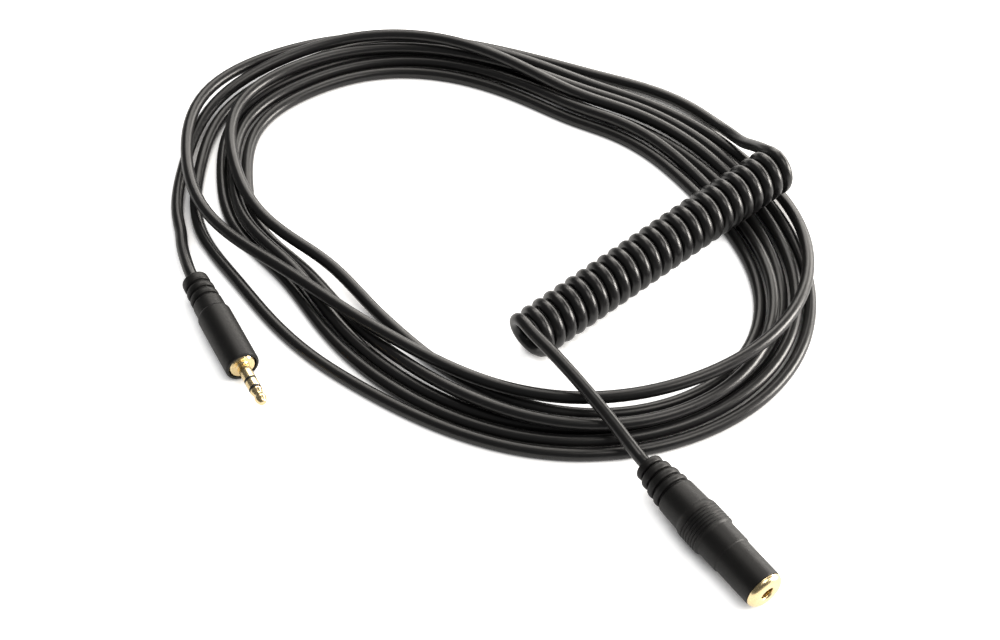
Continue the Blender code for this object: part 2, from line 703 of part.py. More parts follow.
def build_cord(cable, paints):
    joint = SEAT / 2
    straight = CORD_D

    # The plug's lead, from inside the plug to the start of the first pass.
    first = loop_point(0)
    ahead = loop_heading(0)
    height = PLUG_D / 2
    lead = [
        end_point(PLUG_REAR, height, PLUG_HEADING, PLUG_LENGTH + PLUG_CORD_END),
        end_point(PLUG_REAR, height, PLUG_HEADING, 0),
        end_point(PLUG_REAR, height, PLUG_HEADING, -2.0),
        *raised(PLUG_LEAD),
        first - ahead * (joint + straight), first - ahead * joint,
    ]
    plug_lead = smooth_path(lead, 2.2 * CORD_D)
    tube("plug_lead", plug_lead, CORD_D, LEAD_SIDES, paints["cord"], cable)

    # The loose oval: 24 points a turn, straight for a diameter at its ends.
    last = loop_point(LOOPS_END)
    onward = loop_heading(LOOPS_END)
    loops = [first + ahead * joint, first + ahead * (joint + straight)]
    angle = OVAL_STEP
    while angle < LOOPS_END - OVAL_STEP / 2:
        loops.append(loop_point(angle))
        angle += OVAL_STEP
    loops += [last - onward * (joint + straight), last - onward * joint]
    round_loops = tube(
        "round_loops", loops, CORD_D, LOOP_SIDES, paints["cord"], cable)
    floor = block("floor_tool", (-140, -140, -10), (140, 180, 0), None, cable)
    combine(solid_of(round_loops, "cord_loops", cable), floor, "DIFFERENCE")
    print(f"cord_loops least gap to itself {least_gap(loops, CORD_D, 8):.2f} mm")

    # The curly section, fed from the last pass.
    helix = curl_points()
    feed = smooth_path([
        last + onward * joint, last + onward * (joint + straight),
        *raised(FEED), helix[0], helix[1],
    ], 1.6 * CORD_D)[:-1]
    while (feed[-1] - helix[0]).length > 1e-6:
        feed.pop()
    off = (helix[-1] - helix[-2]).normalized()
    off = Vector((off.x, off.y, 0)).normalized()
    curls = feed[:-1] + helix + [helix[-1] + off * straight]
    tube("curly_cord", curls, CORD_D, LOOP_SIDES, paints["cord"], cable)
    print(f"curly_cord least gap to itself {least_gap(curls, CORD_D, 5):.2f} mm")

    # The straight lead to the socket.
    height = BAND_D / 2
    lead = [
        curls[-1] + off * SEAT, curls[-1] + off * (SEAT + straight),
        *raised(SOCKET_LEAD),
        end_point(SOCKET_REAR, height, SOCKET_HEADING, -2.0),
        end_point(SOCKET_REAR, height, SOCKET_HEADING, 0),
        end_point(SOCKET_REAR, height, SOCKET_HEADING,
                  SOCKET_LENGTH + SOCKET_CORD_END),
    ]
    socket_lead = smooth_path(lead, 2.2 * CORD_D)
    tube("socket_lead", socket_lead, CORD_D, LEAD_SIDES, paints["cord"], cable)
    return {"plug_lead": plug_lead, "cord_loops": loops,
            "curly_cord": curls, "socket_lead": socket_lead}


def build():
    for item in list(bpy.data.objects):
        bpy.data.objects.remove(item)
    paints = {
        "cord": paint("cord_pvc", (0.018, 0.018, 0.019), 0.42),
        "rubber": paint("overmould_pvc", (0.022, 0.021, 0.021), 0.62),
        "gold": paint("gold_plate", (0.86, 0.64, 0.28), 0.22, 1.0),
        "brass": paint("spring_brass", (0.78, 0.60, 0.32), 0.30, 1.0),
        "insulator": paint("insulator_nylon", (0.02, 0.02, 0.02), 0.45),
        "mould": paint("inner_polythene", (0.75, 0.74, 0.70), 0.50),
        "wire_ground": paint("bare_copper", (0.72, 0.38, 0.22), 0.35, 1.0),
        "wire_ring": paint("wire_red", (0.55, 0.05, 0.04), 0.45),
        "wire_tip": paint("wire_white", (0.80, 0.79, 0.76), 0.45),
    }
    cable = bpy.data.objects.new("cable_frame", None)
    bpy.context.scene.collection.objects.link(cable)
    cable.location = Vector((-ORIGIN[0], -ORIGIN[1], 0)) * MM
    build_plug(cable, paints)
    build_socket(cable, paints)
    return build_cord(cable, paints)


build()
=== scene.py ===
"""Looks for the coiled stereo mini-jack extension cable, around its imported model.

Named sizes are millimetres and turn into metres where geometry is made. The
cord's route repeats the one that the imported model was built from.
"""

import math

import bpy
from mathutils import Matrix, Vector


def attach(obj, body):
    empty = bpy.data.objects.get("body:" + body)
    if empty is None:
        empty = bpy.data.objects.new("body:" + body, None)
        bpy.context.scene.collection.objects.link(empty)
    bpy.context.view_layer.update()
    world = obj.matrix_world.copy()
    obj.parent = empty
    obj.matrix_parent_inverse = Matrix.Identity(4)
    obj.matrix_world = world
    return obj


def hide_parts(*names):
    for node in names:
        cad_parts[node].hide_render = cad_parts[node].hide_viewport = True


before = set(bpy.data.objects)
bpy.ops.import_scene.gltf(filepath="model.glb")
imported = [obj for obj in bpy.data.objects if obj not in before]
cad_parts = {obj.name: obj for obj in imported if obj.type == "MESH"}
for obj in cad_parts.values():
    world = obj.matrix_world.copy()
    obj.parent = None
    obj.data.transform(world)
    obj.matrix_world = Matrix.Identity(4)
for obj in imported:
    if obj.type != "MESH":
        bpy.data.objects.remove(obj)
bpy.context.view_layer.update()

MM = 0.001
BODY = "cable"

# ------------------------------------------------------------ the route's sizes

CORD_D = 3.4
PASS_GAP = 0.5           # between two passes, side by side or one over the other
PASS_SLANT = 18.0        # degrees that the passes run off square to the radius
FLAT = 0.1               # share of the cord cut off where it rests
ORIGIN = (-3.6, 11.5)    # the row frame's zero, among the route's points
PLUG_REAR = (-85.63, 10.4)
PLUG_HEADING = -62.0
PLUG_LENGTH = 35.0
PLUG_D = 9.6
PLUG_CORD_END = -17.8    # from the moulding's front end
SOCKET_REAR = (37.8, -53.85)
SOCKET_HEADING = -54.5
SOCKET_LENGTH = 47.0
SOCKET_CORD_END = -30.0  # from the socket's mouth
BAND_D = 12.3
CURL_FROM = (79.9, 47.3)
CURL_TO = (7.2, -12.8)
CURL_RADIUS = 5.6
CURL_GAP = 0.5           # least gap between two curls
CURL_LIFT_FROM = 1.5     # its underside over the passes it lies on
CURL_LIFT_TO = 0.5       # its underside over the table
STRAIGHT_BEHIND = 2.0    # of the cord, straight behind a connector

# The oval's outermost lane, every 15 degrees, then the cord's lane, counted
# inwards from it, and the cord's level, both in pitches over all the passes.
OVAL_CENTRE = (-3.0, 35.0)
OVAL = (
    92.0, 96.5, 103.0, 96.5, 90.5, 82.5, 75.1, 70.9, 71.1, 77.8, 83.2, 86.1,
    89.7, 95.1, 98.9, 97.5, 92.1, 84.9, 77.1, 71.1, 68.2, 69.1, 71.9, 77.8,
)
OVAL_STEP = 360 / len(OVAL)
LANES = (
    0.05, 0.63, 0.77, 0.76, 1.01, 1.64, 2.45, 3.2, 3.76, 4.02, 3.83, 3.13, 2.1, 1.29,
    1.05, 1.15, 1.19, 1.06, 0.88, 0.87, 1.24, 2.06, 3.1, 3.89,
    4.02, 3.49, 2.71, 2.11, 1.69, 1.58, 1.91, 2.71, 3.76, 4.59, 4.76, 4.16, 3.16,
    2.31, 1.99, 2.12, 2.23, 2.13, 1.93, 1.89, 2.25, 3.03, 3.96, 4.67,
    4.88, 4.47, 3.73, 3.09, 2.74, 2.7, 3, 3.69, 4.6, 5.36, 5.64, 5.22, 4.27, 3.18,
    2.33, 1.8, 1.62, 1.77, 2.15, 2.63, 3.24, 4.02, 4.83, 5.48,
    5.75, 5.45, 4.74, 4.1, 3.8, 3.81, 4.02, 4.48, 5.2, 6.01, 6.51, 6.32, 5.38, 4.05,
    3.22, 3.09, 3.24, 3.5, 3.9, 4.42, 5.05, 5.76, 6.42, 6.67,
    6.08, 4.57, 2.9, 2, 1.87, 2, 2.14, 2.33, 2.62, 2.89, 2.8, 2.1, 1.05, 0.28, 0.11,
    0.18, 0.16, -0.01, -0.16, -0.15, -0.05, 0.1, 0.38, 0.89,
    1.48, 1.84, 1.69, 1.12, 0.68, 0.6, 0.78, 1.12, 1.56, 1.92, 1.79, 0.88, 0.1, 0.51,
    1.74, 2.95, 3.7, 4, 3.97, 3.84, 3.76, 3.79, 3.75, 3.28,
    2.18, 0.8, -0.12, -0.42, -0.4, -0.27, -0.12, -0.01, 0.06, 0.22, 0.51, 0.94,
)
LEVELS = (
    0.12, 0.04, 0.47, 1.07, 1.61, 1.96, 1.96, 1.61, 1.21, 0.85, 0.49, 0.21, 0.21,
    0.32, 0.34, 0.26, 0.11, 0.02, 0, 0, 0, 0, 0, 0,
    0, 0, 0, 0, 0, 0, 0, 0, 0, 0, 0, 0, 0, 0, 0, 0, 0, 0, 0, 0, 0.04, 0.19, 0.44,
    0.7,
    0.71, 0.44, 0.24, 0.16, 0.15, 0.22, 0.38, 0.6, 0.79, 0.81, 0.51, 0.08, 0.12,
    0.64, 0.98, 0.98, 0.96, 1.01, 0.99, 0.76, 0.39, 0.11, 0, 0,
    0, 0, 0, 0, 0, 0, 0, 0, 0, 0, 0, 0, 0, 0, 0, 0.01, 0.01, 0.01, 0, 0, 0.04, 0.18,
    0.48, 0.89,
    1.3, 1.48, 1.33, 1.08, 0.93, 0.91, 0.98, 0.96, 0.72, 0.39, 0.13, 0, 0, 0, 0, 0,
    0, 0, 0, 0, 0, 0, 0.01, 0.02,
    0.02, 0.01, 0, 0.02, 0.26, 0.56, 0.72, 0.66, 0.43, 0.16, 0, 0, 0.6, 1.44, 2.01,
    1.94, 1.45, 1.04, 0.92, 1.04, 1.23, 1.36, 1.39, 1.32,
    1.33, 1.39, 1.24, 0.76, 0.26, 0, 0, 0.1, 0.13, 0.14, 0.1, 0.1,
)
LOOPS_END = 6 * 360 + 146
# Stops of the cord outside the oval: x, y and the level, in pitches.
PLUG_LEAD = ((-88.8, 17.9, 0.68), (-91.1, 25.6, 0.36))
FEED = ((69.2, 71.4, 0.5), (72.4, 63.4, 1.4), (75.2, 56.5, 2.6), (77.4, 51.0, 3.5))
SOCKET_LEAD = (
    (12.9, -20.9, 2.85), (19.0, -29.0, 2.7), (25.2, -37.5, 2.4),
    (30.3, -44.3, 1.95), (34.3, -49.6, 1.5),
)
PITCH = (CORD_D + PASS_GAP) / math.cos(math.radians(PASS_SLANT))
REST = CORD_D / 2 - CORD_D * FLAT
LOOP_FINENESS = 2.0      # degrees between the points of a loop
CURL_FINENESS = 28       # points in a curl
LEAD_SPACING = 2.2       # between the points of a lead
CORD_SIDES = 20
BOOT_SIDES = 96
PIN_SIDES = 64
CREASE = 38              # degrees from which an edge is drawn sharp
TINY = 1e-6
JACKET_D = 3.5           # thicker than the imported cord, so its passes look close
OFFSET = Vector((-ORIGIN[0], -ORIGIN[1], 0))  # from the route to the row frame


# -------------------------------------------------------------------- camera

CAMERA_ELEVATION = 50.0
CAMERA_DISTANCE = 499.0
CAMERA_FOCAL = 64.476
CAMERA_SENSOR = 36.0
CAMERA_NEAR = 0.01       # metres


def make_camera():
    """The photograph's camera, aimed at the zero of the route's points."""
    data = bpy.data.cameras.new("camera")
    data.lens = CAMERA_FOCAL
    data.sensor_width = CAMERA_SENSOR
    data.clip_start = CAMERA_NEAR
    item = bpy.data.objects.new("camera", data)
    bpy.context.scene.collection.objects.link(item)
    rise = math.radians(CAMERA_ELEVATION)
    item.location = (OFFSET + Vector((
        0, -CAMERA_DISTANCE * math.cos(rise),
        CAMERA_DISTANCE * math.sin(rise)))) * MM
    item.rotation_euler = (math.radians(90 - CAMERA_ELEVATION), 0, 0)
    bpy.context.scene.camera = item


make_camera()


# ---------------------------------------------------------------- the route

def smooth_path(stops, spacing):
    """Points about one spacing apart on a smooth curve through the stops."""
    stops = [Vector(stop) for stop in stops]
    ends = [2 * stops[0] - stops[1]] + stops + [2 * stops[-1] - stops[-2]]
    path = [stops[0]]
    for k in range(1, len(stops)):
        a, b, c, d = ends[k - 1], ends[k], ends[k + 1], ends[k + 2]
        reach = (c - b).length
        before = max((b - a).length, TINY)
        after = max((d - c).length, TINY)
        start = ((b - a) / before * reach + (c - b) * before / reach) \
            / (before + reach) * reach
        finish = ((c - b) * after / reach + (d - c) / after * reach) \
            / (after + reach) * reach
        steps = max(1, round(reach / spacing))
        for j in range(1, steps + 1):
            u = j / steps
            path.append(
                b * (2 * u ** 3 - 3 * u ** 2 + 1)
                + start * (u ** 3 - 2 * u ** 2 + u)
                + c * (3 * u ** 2 - 2 * u ** 3)
                + finish * (u ** 3 - u ** 2))
    return path


def blend(values, place):
    """A smooth curve drawn along a list of numbers, read at a place in it."""
    whole, u = divmod(place, 1)
    shares = ((1 - u) ** 3, 3 * u ** 3 - 6 * u * u + 4,
              3 * (u + u * u - u ** 3) + 1, u ** 3)
    return sum(share * values(int(whole) + k - 1)
               for k, share in enumerate(shares)) / 6


def around(stops):
    """Read a closed list at any whole place."""
    return lambda k: stops[k % len(stops)]


def open_ended(stops):
    """Read an open list, carried on straight past its two ends."""
    def read(k):
        if k < 0:
            return 2 * stops[0] - stops[-k]
        if k >= len(stops):
            return 2 * stops[-1] - stops[2 * len(stops) - 2 - k]
        return stops[k]
    return read


def loop_point(angle):
    """The cord's centre in the oval, at an angle counted over all passes."""
    place = angle / OVAL_STEP
    radius = blend(around(OVAL), place) - blend(open_ended(LANES), place) * PITCH
    turn = math.radians(180 - angle)
    return Vector((
        OVAL_CENTRE[0] + radius * math.cos(turn),
        OVAL_CENTRE[1] + radius * math.sin(turn),
        REST + blend(open_ended(LEVELS), place) * PITCH,
    ))


def raised(stops):
    """Turn stops of x, y and level into points at their height."""
    return [Vector((x, y, REST + level * PITCH)) for x, y, level in stops]


def end_point(rear, height, heading, along):
    """A point on a connector's axis, counted from where the cord enters it."""
    turn = math.radians(heading)
    return Vector((rear[0] + along * math.cos(turn),
                   rear[1] + along * math.sin(turn), height))


def curl_points():
    """The helix, from the top of its first curl to the top of its last."""
    reach = CURL_RADIUS + CORD_D / 2
    start = Vector((*CURL_FROM, REST + CORD_D / 2 + CURL_LIFT_FROM + reach))
    finish = Vector((*CURL_TO, CURL_LIFT_TO + reach))
    along = (finish - start).normalized()
    out = Vector((-along.y, along.x, 0)).normalized()
    up = along.cross(out).normalized()
    if up.z < 0:
        up = -up
    turns = int((finish - start).length / (CORD_D + CURL_GAP))
    path = []
    for k in range(turns * CURL_FINENESS + 1):
        turn = 2 * math.pi * k / CURL_FINENESS
        centre = start.lerp(finish, k / (turns * CURL_FINENESS))
        path.append(centre + CURL_RADIUS
                    * (up * math.cos(turn) + out * math.sin(turn)))
    return path


def cord_route():
    """The whole cord's centreline, from inside the plug to inside the socket."""
    height = PLUG_D / 2
    first = loop_point(0)
    ahead = (loop_point(1) - first).normalized()
    lead = smooth_path([
        end_point(PLUG_REAR, height, PLUG_HEADING, PLUG_LENGTH + PLUG_CORD_END),
        end_point(PLUG_REAR, height, PLUG_HEADING, 0),
        end_point(PLUG_REAR, height, PLUG_HEADING, -STRAIGHT_BEHIND),
        *raised(PLUG_LEAD), first - ahead * CORD_D, first,
    ], LEAD_SPACING)
    route = lead[:-1]
    angle = 0.0
    while angle < LOOPS_END - LOOP_FINENESS / 2:
        route.append(loop_point(angle))
        angle += LOOP_FINENESS
    helix = curl_points()
    last = loop_point(LOOPS_END)
    onward = (last - loop_point(LOOPS_END - 1)).normalized()
    feed = smooth_path([
        last, last + onward * CORD_D, *raised(FEED), helix[0], helix[3],
    ], LEAD_SPACING)
    while (feed[-1] - helix[0]).length > TINY:
        feed.pop()
    route += feed[:-1] + helix
    off = helix[-1] - helix[-2]
    off = Vector((off.x, off.y, 0)).normalized()
    height = BAND_D / 2
    lead = smooth_path([
        helix[-1], helix[-1] + off * CORD_D, *raised(SOCKET_LEAD),
        end_point(SOCKET_REAR, height, SOCKET_HEADING, -STRAIGHT_BEHIND),
        end_point(SOCKET_REAR, height, SOCKET_HEADING, 0),
        end_point(SOCKET_REAR, height, SOCKET_HEADING,
                  SOCKET_LENGTH + SOCKET_CORD_END),
    ], LEAD_SPACING)
    return [(point + OFFSET) * MM for point in route + lead[1:]]


# -------------------------------------------------------------------- pieces

def mesh_item(name, corners, faces, unwrapped=None):
    """A smooth mesh object from corners in metres, in the row frame."""
    mesh = bpy.data.meshes.new(name)
    mesh.from_pydata([tuple(corner) for corner in corners], [], faces)
    if unwrapped:
        layer = mesh.uv_layers.new(name="unwrap")
        for loop_index, spot in enumerate(unwrapped):
            layer.data[loop_index].uv = spot
    mesh.shade_smooth()
    mesh.set_sharp_from_angle(angle=math.radians(CREASE))
    mesh.update()
    item = bpy.data.objects.new(name, mesh)
    bpy.context.scene.collection.objects.link(item)
    return item


def tube(name, path, radius, sides):
    """A round tube along a path, flat where it rests, unwrapped in metres."""
    heading = (path[1] - path[0]).normalized()
    side = heading.orthogonal().normalized()
    corners = []
    travelled = []
    distance = 0.0
    for k, point in enumerate(path):
        before = path[max(k - 1, 0)]
        after = path[min(k + 1, len(path) - 1)]
        turned_to = (after - before).normalized()
        side = (heading.rotation_difference(turned_to) @ side).normalized()
        heading = turned_to
        side = (side - heading * side.dot(heading)).normalized()
        over = heading.cross(side)
        if k:
            distance += (point - path[k - 1]).length
        travelled.append(distance)
        for j in range(sides):
            turn = 2 * math.pi * j / sides
            corner = point + radius * (
                side * math.cos(turn) + over * math.sin(turn))
            corner.z = max(corner.z, 0.0)
            corners.append(corner)
    faces = []
    unwrapped = []
    girth = 2 * math.pi * radius
    for k in range(len(path) - 1):
        for j in range(sides):
            n = (j + 1) % sides
            faces.append((k * sides + j, k * sides + n,
                          (k + 1) * sides + n, (k + 1) * sides + j))
            low, high = girth * j / sides, girth * (j + 1) / sides
            unwrapped += [(low, travelled[k]), (high, travelled[k]),
                          (high, travelled[k + 1]), (low, travelled[k + 1])]
    for ring in (0, len(path) - 1):
        cap = [ring * sides + j for j in range(sides)]
        if ring == 0:
            cap.reverse()
        faces.append(tuple(cap))
        unwrapped += [(0.0, travelled[ring])] * sides
    return mesh_item(name, corners, faces, unwrapped)


def make_cord():
    """The cord as one tube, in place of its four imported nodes."""
    route = cord_route()
    item = tube("cord", route, JACKET_D / 2 * MM, CORD_SIDES)
    length = sum((b - a).length for a, b in zip(route, route[1:]))
    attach(item, BODY)
    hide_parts("plug_lead", "cord_loops", "curly_cord", "socket_lead")
    return item, route, length


cord, cord_path, cord_length = make_cord()


ROUNDING_STEPS = 5
HALF = 0.49              # the share of an edge that one rounding may take up


def rounded(outline):
    """Round the corners of a closed outline of (along, radius, rounding)."""
    line = []
    for k, (x, r, rounding) in enumerate(outline):
        corner = Vector((x, r))
        if not rounding:
            line.append(corner)
            continue
        before = Vector(outline[k - 1][:2]) - corner
        after = Vector(outline[(k + 1) % len(outline)][:2]) - corner
        start = corner + before.normalized() * min(rounding, before.length * HALF)
        finish = corner + after.normalized() * min(rounding, after.length * HALF)
        for j in range(ROUNDING_STEPS + 1):
            u = j / ROUNDING_STEPS
            line.append(start * (1 - u) ** 2 + corner * 2 * u * (1 - u)
                        + finish * u ** 2)
    return line


def turned(name, outline, origin, heading, sides=BOOT_SIDES, boxes=()):
    """Revolve a closed outline about a connector's axis, with boxes beside it."""
    turn = math.radians(heading)
    along = Vector((math.cos(turn), math.sin(turn), 0))
    across = Vector((-math.sin(turn), math.cos(turn), 0))
    up = Vector((0, 0, 1))
    corners = []
    rings = []
    for x, r in outline:
        if r < TINY:
            rings.append([len(corners)] * sides)
            corners.append((origin + along * x) * MM)
            continue
        rings.append(list(range(len(corners), len(corners) + sides)))
        for k in range(sides):
            lean = 2 * math.pi * k / sides
            corners.append((origin + along * x + r * (
                across * math.cos(lean) + up * math.sin(lean))) * MM)
    faces = []
    for first, second in zip(rings, rings[1:] + rings[:1]):
        for k in range(sides):
            n = (k + 1) % sides
            face = []
            for corner in (first[k], first[n], second[n], second[k]):
                if corner not in face:
                    face.append(corner)
            if len(face) > 2:
                faces.append(tuple(face))
    for low, high in boxes:
        base = len(corners)
        for x in (low[0], high[0]):
            for y, z in ((low[1], low[2]), (high[1], low[2]),
                         (high[1], high[2]), (low[1], high[2])):
                corners.append((origin + along * x + across * y + up * z) * MM)
        faces += [tuple(base + c for c in face) for face in (
            (0, 3, 2, 1), (4, 5, 6, 7), (0, 1, 5, 4),
            (1, 2, 6, 5), (2, 3, 7, 6), (3, 0, 4, 7))]
    return mesh_item(name, corners, faces)


def on_cable(item, node):
    """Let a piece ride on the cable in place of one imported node."""
    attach(item, BODY)
    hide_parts(node)
    return item


# The connectors' front ends, from which their outlines count backwards.
BORE_PLAY = 0.04
PLUG_ORIGIN = end_point(PLUG_REAR, PLUG_D / 2, PLUG_HEADING, PLUG_LENGTH) + OFFSET
SOCKET_ORIGIN = end_point(
    SOCKET_REAR, BAND_D / 2, SOCKET_HEADING, SOCKET_LENGTH) + OFFSET


def make_plug_boot():
    """The plug's moulding: ribbed relief, slim neck, step and thick body."""
    rear = -PLUG_LENGTH
    body, neck, relief = PLUG_D / 2, 4.3, 3.9
    bore, core = CORD_D / 2 + BORE_PLAY, 4.0
    outline = [
        (rear, bore, 0), (rear, relief - 0.1, 0.8),
        (rear + 3.0, relief, 0.75), (rear + 3.1, relief - 0.95, 0.25),
        (rear + 4.0, relief - 0.85, 0.25), (rear + 4.05, relief + 0.15, 0.75),
        (rear + 5.9, relief + 0.15, 0.75), (rear + 5.95, relief - 0.75, 0.25),
        (rear + 6.8, relief - 0.7, 0.25), (rear + 6.85, relief + 0.25, 0.75),
        (rear + 8.65, relief + 0.25, 0.75), (rear + 8.7, relief - 0.6, 0.25),
        (rear + 9.45, relief - 0.5, 0.25), (rear + 9.6, neck - 0.05, 0.5),
        (-20.9, neck, 0.25), (-20.5, body - 0.05, 0.35),
        (-19.6, body, 0.6), (0, body, 0.75), (0, core, 0.1),
        (-17.1, core, 0), (-21.6, 3.3, 0), (-21.6, bore, 0),
    ]
    item = turned("plug_boot", rounded(outline), PLUG_ORIGIN, PLUG_HEADING)
    return on_cable(item, "plug_overmould")


def make_plug_tip():
    """The pin's tip with its waist, on the rod that runs back inside."""
    start, nose = 8.9, 5.1
    outline = [
        (-9.5, 0, 0), (-9.5, 0.5, 0), (start, 0.5, 0), (start, 1.66, 0.1),
        (start + 0.10 * nose, 1.73, 0.2), (start + 0.24 * nose, 1.5, 0.35),
        (start + 0.40 * nose, 1.3, 0.5), (start + 0.56 * nose, 1.58, 0.35),
        (start + 0.68 * nose, 1.62, 0.5), (start + 0.89 * nose, 1.2, 0.6),
        (start + nose, 0.75, 0.45), (start + nose, 0, 0),
    ]
    item = turned("plug_point", rounded(outline), PLUG_ORIGIN, PLUG_HEADING,
                  PIN_SIDES)
    return on_cable(item, "plug_tip")


# The socket's ribs: where each starts and ends behind the cord's entry, and
# its radius; then the rings cut into its grip band.
SOCKET_RIBS = ((0.0, 2.1, 3.9), (2.9, 5.0, 4.5), (5.8, 7.8, 5.0), (8.6, 10.4, 5.3))
RIB_ROUNDING = 0.95
RIB_EDGE = 0.02          # how far a rib's sides lean
GROOVE_DEPTH = 1.1
GROOVE_ROUNDING = 0.3
RINGS = 6
FIRST_RING = -26.2
RING_SPACING = 0.95
RING_SIDE = 0.16         # the width of a ring's sides, and of its floor
RING_DEPTH = 0.28
RING_ROUNDING = (0.2, 0.1)


def make_socket_boot():
    """The socket's moulding: four ribs, cone, ringed grip band and barrel."""
    rear = -SOCKET_LENGTH
    barrel, back, band = 5.35, 5.6, BAND_D / 2
    bore, core = CORD_D / 2 + BORE_PLAY, 4.6
    outline = [(rear, bore, 0)]
    for start, end, radius in SOCKET_RIBS:
        groove = radius - GROOVE_DEPTH
        if start:
            outline.append((rear + start, groove, GROOVE_ROUNDING))
        outline += [(rear + start + RIB_EDGE, radius, RIB_ROUNDING),
                    (rear + end, radius, RIB_ROUNDING),
                    (rear + end + RIB_EDGE, groove, GROOVE_ROUNDING)]
    outline += [
        (rear + 11.15, 4.4, 0.3), (rear + 11.25, 5.42, 0.6),
        (-28.4, back + 0.05, 0.3), (-27.5, band - 0.12, 0.3),
        (-26.9, band, 0.2),
    ]
    lip, foot = RING_ROUNDING
    for k in range(RINGS):
        x = FIRST_RING + k * RING_SPACING
        outline += [(x, band, lip),
                    (x + RING_SIDE, band - RING_DEPTH, foot),
                    (x + 2 * RING_SIDE, band - RING_DEPTH, foot),
                    (x + 3 * RING_SIDE, band, lip)]
    outline += [
        (-20.55, band, 0.3), (-19.8, back + 0.02, 0.35), (-13.7, back, 0.12),
        (-13.35, barrel, 0.2), (-1.85, barrel, 0.25), (-1.85, core, 0),
        (-31.6, core, 0), (-34.3, 3.0, 0), (-34.3, bore, 0),
    ]
    item = turned("socket_boot", rounded(outline), SOCKET_ORIGIN, SOCKET_HEADING)
    return on_cable(item, "socket_overmould")


def make_socket_mouth():
    """The socket's domed gold end, with its mouth, neck and ground strap."""
    outline = [
        (-4.7, 1.8, 0), (-4.7, 3.0, 0), (-1.7, 3.0, 0), (-1.7, 5.25, 0.12),
        (-1.15, 5.22, 0.4), (-0.45, 4.78, 0.5), (0, 4.0, 0.3),
        (0, 2.15, 0.12), (-0.35, 1.8, 0.15),
    ]
    strap = ((-22.4, -4.05, -0.9), (-1.5, -3.7, 0.9))
    item = turned("socket_cap", rounded(outline), SOCKET_ORIGIN, SOCKET_HEADING,
                  boxes=(strap,))
    return on_cable(item, "socket_bush")


plug_boot = make_plug_boot()
plug_point = make_plug_tip()
socket_boot = make_socket_boot()
socket_cap = make_socket_mouth()


# ---------------------------------------------------------------- materials

NOISE_MIDDLE = (0.3, 0.7)  # the part of a noise's range that it mostly keeps to
BROAD_DETAIL = 3.0
FINE_DETAIL = 4.0


def paint(name, colours, roughness, scale, bump, metallic=0.0, specular=0.5,
          stretch=None):
    """A surface whose colour, gloss and relief vary a little over it.

    colours and roughness are each a low and a high value, scale is the size of
    the variation and of the grain in millimetres, and bump is the grain's height.
    stretch draws both out along a tube's own length.
    """
    material = bpy.data.materials.new(name)
    material.use_nodes = True
    nodes = material.node_tree.nodes
    links = material.node_tree.links
    shader = nodes["Principled BSDF"]
    shader.inputs["Metallic"].default_value = metallic
    shader.inputs["Specular IOR Level"].default_value = specular
    where = nodes.new("ShaderNodeTexCoord").outputs["UV" if stretch else "Object"]
    if stretch:
        mapping = nodes.new("ShaderNodeMapping")
        mapping.inputs["Scale"].default_value = (1.0, 1.0 / stretch, 1.0)
        links.new(where, mapping.inputs["Vector"])
        where = mapping.outputs["Vector"]

    def noise(size, detail):
        node = nodes.new("ShaderNodeTexNoise")
        node.inputs["Scale"].default_value = 1.0 / (size * MM)
        node.inputs["Detail"].default_value = detail
        links.new(where, node.inputs["Vector"])
        return node.outputs["Fac"]

    broad = noise(scale[0], BROAD_DETAIL)
    fine = noise(scale[1], FINE_DETAIL)
    mix = nodes.new("ShaderNodeMix")
    mix.data_type = "RGBA"
    mix.inputs["A"].default_value = (*colours[0], 1.0)
    mix.inputs["B"].default_value = (*colours[1], 1.0)
    links.new(broad, mix.inputs["Factor"])
    links.new(mix.outputs["Result"], shader.inputs["Base Color"])
    spread = nodes.new("ShaderNodeMapRange")
    spread.inputs["From Min"].default_value = NOISE_MIDDLE[0]
    spread.inputs["From Max"].default_value = NOISE_MIDDLE[1]
    spread.inputs["To Min"].default_value = roughness[0]
    spread.inputs["To Max"].default_value = roughness[1]
    links.new(fine, spread.inputs["Value"])
    links.new(spread.outputs["Result"], shader.inputs["Roughness"])
    relief = nodes.new("ShaderNodeBump")
    relief.inputs["Strength"].default_value = 1.0
    relief.inputs["Distance"].default_value = bump * MM
    links.new(fine, relief.inputs["Height"])
    links.new(relief.outputs["Normal"], shader.inputs["Normal"])
    return material


PAINTS = {
    "cord": paint("cord_jacket", ((0.0078, 0.008, 0.0088), (0.0135, 0.0134, 0.0136)),
                  (0.28, 0.35), (6.0, 0.8), 0.0008, stretch=2.0),
    "boot": paint("boot_rubber", ((0.007, 0.007, 0.0074), (0.012, 0.0116, 0.0112)),
                  (0.4, 0.52), (3.0, 0.35), 0.012, specular=0.32),
    "gold": paint("gold_finish", ((0.88, 0.69, 0.38), (0.93, 0.76, 0.46)),
                  (0.2, 0.3), (1.5, 0.5), 0.0005, metallic=1.0),
    "brass": paint("brass_strip", ((0.70, 0.52, 0.24), (0.82, 0.64, 0.34)),
                   (0.22, 0.36), (1.2, 0.2), 0.002, metallic=1.0),
    "insulator": paint("insulator_black", ((0.012, 0.012, 0.012), (0.02, 0.02, 0.02)),
                       (0.35, 0.5), (2.0, 0.3), 0.004),
    "mould": paint("mould_natural", ((0.66, 0.65, 0.60), (0.76, 0.75, 0.71)),
                   (0.42, 0.58), (3.0, 0.5), 0.01),
    "copper": paint("wire_copper", ((0.62, 0.30, 0.16), (0.78, 0.44, 0.27)),
                    (0.26, 0.42), (0.8, 0.2), 0.01, metallic=1.0),
    "red": paint("wire_jacket_red", ((0.45, 0.03, 0.03), (0.58, 0.06, 0.05)),
                 (0.38, 0.5), (1.5, 0.3), 0.004),
    "white": paint("wire_jacket_white", ((0.72, 0.71, 0.67), (0.82, 0.81, 0.78)),
                   (0.38, 0.5), (1.5, 0.3), 0.004),
}
